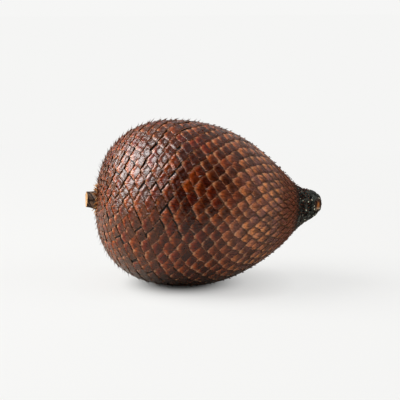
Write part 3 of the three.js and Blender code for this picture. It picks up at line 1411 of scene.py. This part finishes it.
@dataclass(frozen=True)
class PrickleFinish(Finish):
    """Horny prickle, grown: brown at its foot and nearly black at its point."""

    name: str = "scale_prickle_horny"
    roughness: float = 0.45
    ior: float = 1.5
    foot: str = "5e2c14"
    point: str = "24110a"
    places: tuple[tuple[str, ...], ...] = (("place", "along"),)

    def inputs(self, tree: bpy.types.NodeTree, values: Values) -> dict[str, Any]:
        """Works out the colour, darker along the prickle.

        Args:
            tree: The material's node tree.
            values: The finish's values by name.

        Returns:
            The shader's inputs.
        """
        colour = add_node(tree, "ValToRGB", {0: values["along"]}, stops=[
            (0.0, linear(self.foot)), (0.7, linear(self.point))])
        return {"Base Color": colour.outputs[0]}


@dataclass(frozen=True)
class CrustFinish(Finish):
    """Charred, crusted beak: black with a green cast, painted highlight on ridges, a few pale flakes.

    Sizes are in mm. The value from_scar is 0 at the scar's middle and 1 at its edge.
    """

    name: str = "beak_crust_charred"
    roughness: float = 0.25
    ior: float = 1.4
    dark: str = "030403"
    # the painted highlight on raised crust
    light: str = "3b403a"
    flake_spacing: float = 0.909
    flaked: float = 0.8
    bump_height: float = 0.3
    places: tuple[tuple[str, ...], ...] = (("place", "raised", "from_scar"),)
    patterns: tuple[tuple[str, float, float, float], ...] = (("crumb", 0.8, 4.0, 0.5),)
    # painted highlight: lighter where the crust stands up
    sums: tuple[tuple[str, dict[str, float]], ...] = (("high", {"crumb": 1.0, "raised": 0.9}),)
    fades: tuple[Fade, ...] = (
        # browner round the scar
        Fade("near_scar", "from_scar", 1.1, 2.2, 0.75, 0.0, smooth=True),
        # pale flakes half a millimetre across, on few of the cells
        Fade("flake", "from_cell", 0.22, 0.34, "rare", 0.0))
    layers: tuple[tuple[str, str], ...] = (("near_scar", "3a2117"), ("flake", "c9c5ac"))

    def add_own(self, tree: bpy.types.NodeTree, values: Values) -> None:
        """Adds the cells that flakes are on, and which of them have one.

        Args:
            tree: The material's node tree.
            values: The finish's values by name, which they join.
        """
        cells = add_node(tree, "TexVoronoi", {"Vector": values["coords"],
                                              "Scale": 1 / (self.flake_spacing * MM)})
        chance = add_node(tree, "SeparateColor", {0: cells.outputs["Color"]})
        rare = add_node(tree, "Math", {0: chance.outputs[0], 1: self.flaked},
                        operation="GREATER_THAN")
        values |= {"from_cell": cells.outputs["Distance"], "rare": rare.outputs[0]}

    def inputs(self, tree: bpy.types.NodeTree, values: Values) -> dict[str, Any]:
        """Works out the colour and the crumbly relief.

        Args:
            tree: The material's node tree.
            values: The finish's values by name.

        Returns:
            The shader's inputs.
        """
        body = add_node(tree, "ValToRGB", {0: values["high"]}, stops=[
            (0.45, linear(self.dark)), (0.72, linear(self.light))])
        bump = add_node(tree, "Bump", {"Height": values["crumb"], "Strength": 1.0,
                                       "Distance": self.bump_height * MM})
        return {"Base Color": self.paint(tree, values, body.outputs[0], self.layers),
                "Normal": bump.outputs[0]}


@dataclass(frozen=True)
class ScarFinish(Finish):
    """Corky scar, healed: orange-brown with a dark ring and a paler patch low down.

    Sizes are in mm.
    """

    name: str = "beak_scar_corky"
    roughness: float = 0.7
    middle: str = "a4601f"
    rim: str = "4a2a18"
    bump_height: float = 0.1
    places: tuple[tuple[str, ...], ...] = (("place", "outward", "height"),)
    patterns: tuple[tuple[str, float, float, float], ...] = (("grain", 0.5, 3.0, 0.5),)
    sums: tuple[tuple[str, dict[str, float]], ...] = (("out", {"outward": 1.0, "grain": 0.7}),)
    fades: tuple[Fade, ...] = (Fade("low", "height", -0.5, -1.1, 0.0, 0.8),)
    layers: tuple[tuple[str, str], ...] = (("low", "cfa07c"),)

    def inputs(self, tree: bpy.types.NodeTree, values: Values) -> dict[str, Any]:
        """Works out the colour and the cork's grain.

        Args:
            tree: The material's node tree.
            values: The finish's values by name.

        Returns:
            The shader's inputs.
        """
        body = add_node(tree, "ValToRGB", {0: values["out"]}, stops=[
            (0.7, linear(self.middle)), (1.0, linear(self.rim))])
        bump = add_node(tree, "Bump", {"Height": values["grain"], "Strength": 0.5,
                                       "Distance": self.bump_height * MM})
        return {"Base Color": self.paint(tree, values, body.outputs[0], self.layers),
                "Normal": bump.outputs[0]}


@dataclass(frozen=True)
class BarkFinish(Finish):
    """Dried stalk: dull grey-brown fibres with slanting dark cracks.

    Sizes are in mm.
    """

    name: str = "stalk_bark_dried"
    roughness: float = 0.75
    light: str = "7a5c44"
    middle: str = "3c291c"
    dark: str = "080403"
    bump_height: float = 0.3
    places: tuple[tuple[str, ...], ...] = (("place", "radial", "turn", "depth"),)
    # 26 fibres round the stub, which climb once round in 9 mm and are 3 mm long
    sums: tuple[tuple[str, dict[str, float]], ...] = (
        ("round", {"turn": 26.0, "depth": 26.0 / 9.09}), ("lengthwise", {"depth": 1 / 3.33}))

    def inputs(self, tree: bpy.types.NodeTree, values: Values) -> dict[str, Any]:
        """Works out the colour and the fibres' relief.

        Args:
            tree: The material's node tree.
            values: The finish's values by name.

        Returns:
            The shader's inputs.
        """
        line = add_node(tree, "CombineXYZ", {0: values["round"], 1: values["lengthwise"]})
        fibre = add_node(tree, "TexNoise", {"Vector": line.outputs[0], "Scale": 1.0,
                                            "Detail": 4.0, "Roughness": 0.6})
        colour = add_node(tree, "ValToRGB", {0: fibre.outputs[0]}, stops=[
            (0.42, linear(self.dark)), (0.5, linear(self.middle)), (0.64, linear(self.light))])
        bump = add_node(tree, "Bump", {"Height": fibre.outputs[0], "Strength": 0.8,
                                       "Distance": self.bump_height * MM})
        return {"Base Color": colour.outputs[0], "Normal": bump.outputs[0]}


@dataclass(frozen=True)
class CutFinish(Finish):
    """Pith, cut and dried: cream with olive-brown spots in the middle and a reddish rim.

    Sizes are in mm.
    """

    name: str = "stalk_pith_cut"
    roughness: float = 0.8
    cream: str = "b68d5e"
    spot: str = "5e4220"
    places: tuple[tuple[str, ...], ...] = (("place", "radial"),)
    patterns: tuple[tuple[str, float, float, float], ...] = (("spots", 0.5, 3.0, 0.5),)
    # fewer spots toward the rim
    sums: tuple[tuple[str, dict[str, float]], ...] = (
        ("spotted", {"spots": 1.0, "radial": -0.06}),)
    fades: tuple[Fade, ...] = (Fade("rim", "radial", 1.95, 2.35, 0.0, 0.9),)
    layers: tuple[tuple[str, str], ...] = (("rim", "5e3420"),)

    def inputs(self, tree: bpy.types.NodeTree, values: Values) -> dict[str, Any]:
        """Works out the colour.

        Args:
            tree: The material's node tree.
            values: The finish's values by name.

        Returns:
            The shader's inputs.
        """
        body = add_node(tree, "ValToRGB", {0: values["spotted"]}, stops=[
            (0.42, linear(self.cream)), (0.62, linear(self.spot))])
        return {"Base Color": self.paint(tree, values, body.outputs[0], self.layers)}


@dataclass(frozen=True)
class BractFinish(Finish):
    """Papery bract, dried: golden brown, darker at its foot, with paler torn tips."""

    name: str = "bract_papery_dried"
    roughness: float = 0.6
    foot: str = "220e06"
    body: str = "8f5a28"
    tip: str = "c08c54"
    places: tuple[tuple[str, ...], ...] = (("place", "along"),)
    patterns: tuple[tuple[str, float, float, float], ...] = (("streak", 0.8, 3.0, 0.5),)
    sums: tuple[tuple[str, dict[str, float]], ...] = (("streaked", {"along": 1.0, "streak": 0.5}),)

    def inputs(self, tree: bpy.types.NodeTree, values: Values) -> dict[str, Any]:
        """Works out the colour, streaked along the bract.

        Args:
            tree: The material's node tree.
            values: The finish's values by name.

        Returns:
            The shader's inputs.
        """
        colour = add_node(tree, "ValToRGB", {0: values["streaked"]}, stops=[
            (0.3, linear(self.foot)), (0.65, linear(self.body)), (1.0, linear(self.tip))])
        return {"Base Color": colour.outputs[0]}


# ---------------------------------------------------------------------------- the studio


@dataclass(frozen=True)
class Lamp:
    """A soft rectangular lamp. Its distance and size are in metres, and its face has a radiance."""

    name: str
    toward: tuple[float, float, float]
    far: float
    size: tuple[float, float]
    radiance: float
    mirrored: bool = True

    def add(self, aim: Vector) -> None:
        """Adds the lamp to the scene.

        Args:
            aim: The point that it faces.
        """
        width, height = self.size
        data = bpy.data.lights.new(self.name, "AREA")
        data.shape, data.size, data.size_y = "RECTANGLE", width, height
        data.energy = self.radiance * math.pi * width * height
        lamp = bpy.data.objects.new(self.name, data)
        way = Vector(self.toward).normalized()
        lamp.location = way * self.far + aim
        lamp.rotation_euler = way.to_track_quat("Z", "Y").to_euler()
        lamp.visible_camera = False
        lamp.visible_glossy = self.mirrored
        bpy.context.scene.collection.objects.link(lamp)


@dataclass
class Studio:
    """A seamless pale floor, a large soft lamp at the upper left and the camera.

    The floor fades to plain white away from the fruit, by pairs of a distance and a share of white.
    Lengths are in mm, but the floor's size is in metres.
    """

    azimuth_deg: float = -6.0
    elevation_deg: float = 10.0
    distance: float = 450.0
    lens: float = 135.7
    sensor_width: float = 36.0
    aim_right: float = 5.8
    aim_up: float = 0.95
    lamp_aim: float = 24.0
    lamps: tuple[Lamp, ...] = (
        Lamp("softbox", (-0.9, 0.14, 0.7), 0.9, (0.66, 0.85), 8.9),
        Lamp("window", (-0.9, -0.15, 0.75), 1.3, (1.6, 1.5), 1.0),
        Lamp("fill", (0.9, -0.3, 0.6), 1.3, (1.2, 0.9), 2.6, mirrored=False))
    floor_size: float = 3.0
    paper: str = "cacac8"
    paper_mirrored: str = "9e988f"
    paper_white: str = "f5f5f4"
    fade_from: tuple[float, float, float] = (-7.0, 0.0, 0.0)
    fade: tuple[tuple[float, float], ...] = ((7.0, 0.0), (18.0, 0.55), (35.0, 0.8), (300.0, 1.0))
    dark_side: tuple[float, float, float] = (0.48, -0.85, 0.18)
    dark_from: tuple[float, float] = (0.3, 0.8)
    bright_level: float = 0.34
    dark_level: float = 0.008
    tint: tuple[float, float, float, float] = (1.0, 0.96, 0.92, 1.0)
    backdrop: str = "f6f6f5"

    def camera(self, form: FruitForm) -> None:
        """Sets the camera at the height and angle of a table-top picture.

        Args:
            form: The fruit's form.
        """
        az, el = math.radians(self.azimuth_deg), math.radians(self.elevation_deg)
        back = Vector((math.sin(az) * math.cos(el), -math.cos(az) * math.cos(el), math.sin(el)))
        right = Vector((math.cos(az), math.sin(az), 0.0))
        up = back.cross(right)
        middle = Vector((form.shift[0], 0.0, form.shift[1]))
        aim = middle + right * self.aim_right + up * self.aim_up
        data = bpy.data.cameras.new("camera")
        data.lens, data.sensor_width = self.lens, self.sensor_width
        data.clip_start, data.clip_end = 0.01, 20.0
        camera = bpy.data.objects.new("camera", data)
        camera.location = (aim + back * self.distance) * MM
        camera.rotation_euler = back.to_track_quat("Z", "Y").to_euler()
        bpy.context.scene.collection.objects.link(camera)
        bpy.context.scene.camera = camera

    def floor(self) -> None:
        """Adds the floor: matt paper, dimmer in the scales' shine than it is by itself."""
        half = self.floor_size / 2
        corners = np.array([(-half, -half, 0), (half, -half, 0), (half, half, 0), (-half, half, 0)])
        material, tree = empty_material("seamless_paper_matt")
        paper = add_node(tree, "BsdfDiffuse", {"Color": linear(self.paper)})
        mirrored = add_node(tree, "BsdfDiffuse", {"Color": linear(self.paper_mirrored)})
        white = add_node(tree, "Emission", {"Color": linear(self.paper_white), "Strength": 1.0})
        coords = add_node(tree, "TexCoord").outputs["Object"]
        start = tuple(part * MM for part in self.fade_from)
        far = add_node(tree, "VectorMath", {0: coords, 1: start}, operation="DISTANCE")
        level = add_node(tree, "ValToRGB", {0: far.outputs["Value"]}, stops=[
            (place * MM, (share, share, share, 1.0)) for place, share in self.fade])
        path = add_node(tree, "LightPath").outputs
        part = add_node(tree, "Math", {0: level.outputs[0], 1: path["Is Camera Ray"]},
                        operation="MULTIPLY")
        lit = add_node(tree, "MixShader", {0: path["Is Glossy Ray"], 1: paper.outputs[0],
                                           2: mirrored.outputs[0]})
        mixed = add_node(tree, "MixShader", {0: part.outputs[0], 1: lit.outputs[0],
                                             2: white.outputs[0]})
        add_node(tree, "OutputMaterial", {0: mixed.outputs[0]})
        MeshParts(points=corners, faces=[(0, 1, 2, 3)]).to_object("floor", [material])

    def world(self) -> None:
        """Sets the surroundings: dim in front and to the right, brighter behind and above."""
        world = bpy.data.worlds.new("studio")
        bpy.context.scene.world = world
        world.use_nodes = True
        tree = world.node_tree
        tree.nodes.clear()
        way = add_node(tree, "TexCoord").outputs["Generated"]
        front = add_node(tree, "VectorMath", {0: way, 1: self.dark_side}, operation="DOT_PRODUCT")
        start, full = self.dark_from
        level = add_node(tree, "MapRange", {0: front.outputs["Value"], 1: start, 2: full,
                                            3: self.bright_level, 4: self.dark_level},
                         interpolation_type="SMOOTHSTEP")
        around = add_node(tree, "Background", {0: self.tint, 1: level.outputs[0]})
        backdrop = add_node(tree, "Background", {0: linear(self.backdrop), 1: 1.0})
        seen = add_node(tree, "LightPath").outputs["Is Camera Ray"]
        mixed = add_node(tree, "MixShader", {0: seen, 1: around.outputs[0],
                                             2: backdrop.outputs[0]})
        add_node(tree, "OutputWorld", {0: mixed.outputs[0]})

    def build(self, form: FruitForm) -> None:
        """Sets up the whole studio.

        Args:
            form: The fruit's form.
        """
        bpy.context.scene.view_settings.view_transform = "Standard"
        self.camera(form)
        self.floor()
        self.world()
        for lamp in self.lamps:
            lamp.add(Vector((0.0, 0.0, self.lamp_aim * MM)))


# ---------------------------------------------------------------------------- the whole


def main() -> None:
    """Builds the fruit and its studio, and reports each piece."""
    logging.basicConfig(level=logging.INFO, format="%(name)s: %(message)s")
    form = FruitForm()
    scales = {
        Wax.SHINY: ScaleFinish().material(),
        Wax.DRY: ScaleFinish(name="snake_fruit_scale_dry", wax=Wax.DRY, roughness=0.4).material(),
    }
    skin = UnderSkin().build(form, UnderSkinFinish().material())
    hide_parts("fruit")
    coat = ScaleCoat().build(form, scales, PrickleFinish().material())
    beak = Beak().build(form, CrustFinish().material(), ScarFinish().material())
    stub = StalkStub().build(form, BarkFinish().material(), CutFinish().material())
    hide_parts("stem_stub")
    bracts = Bracts().build(form, BractFinish().material())
    for piece in (skin, *coat, *beak, stub, bracts):
        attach(piece, BODY)
        log.info("%s: %d faces", piece.name, len(piece.data.polygons))
    Studio().build(form)


if __name__ == "__main__":
    main()
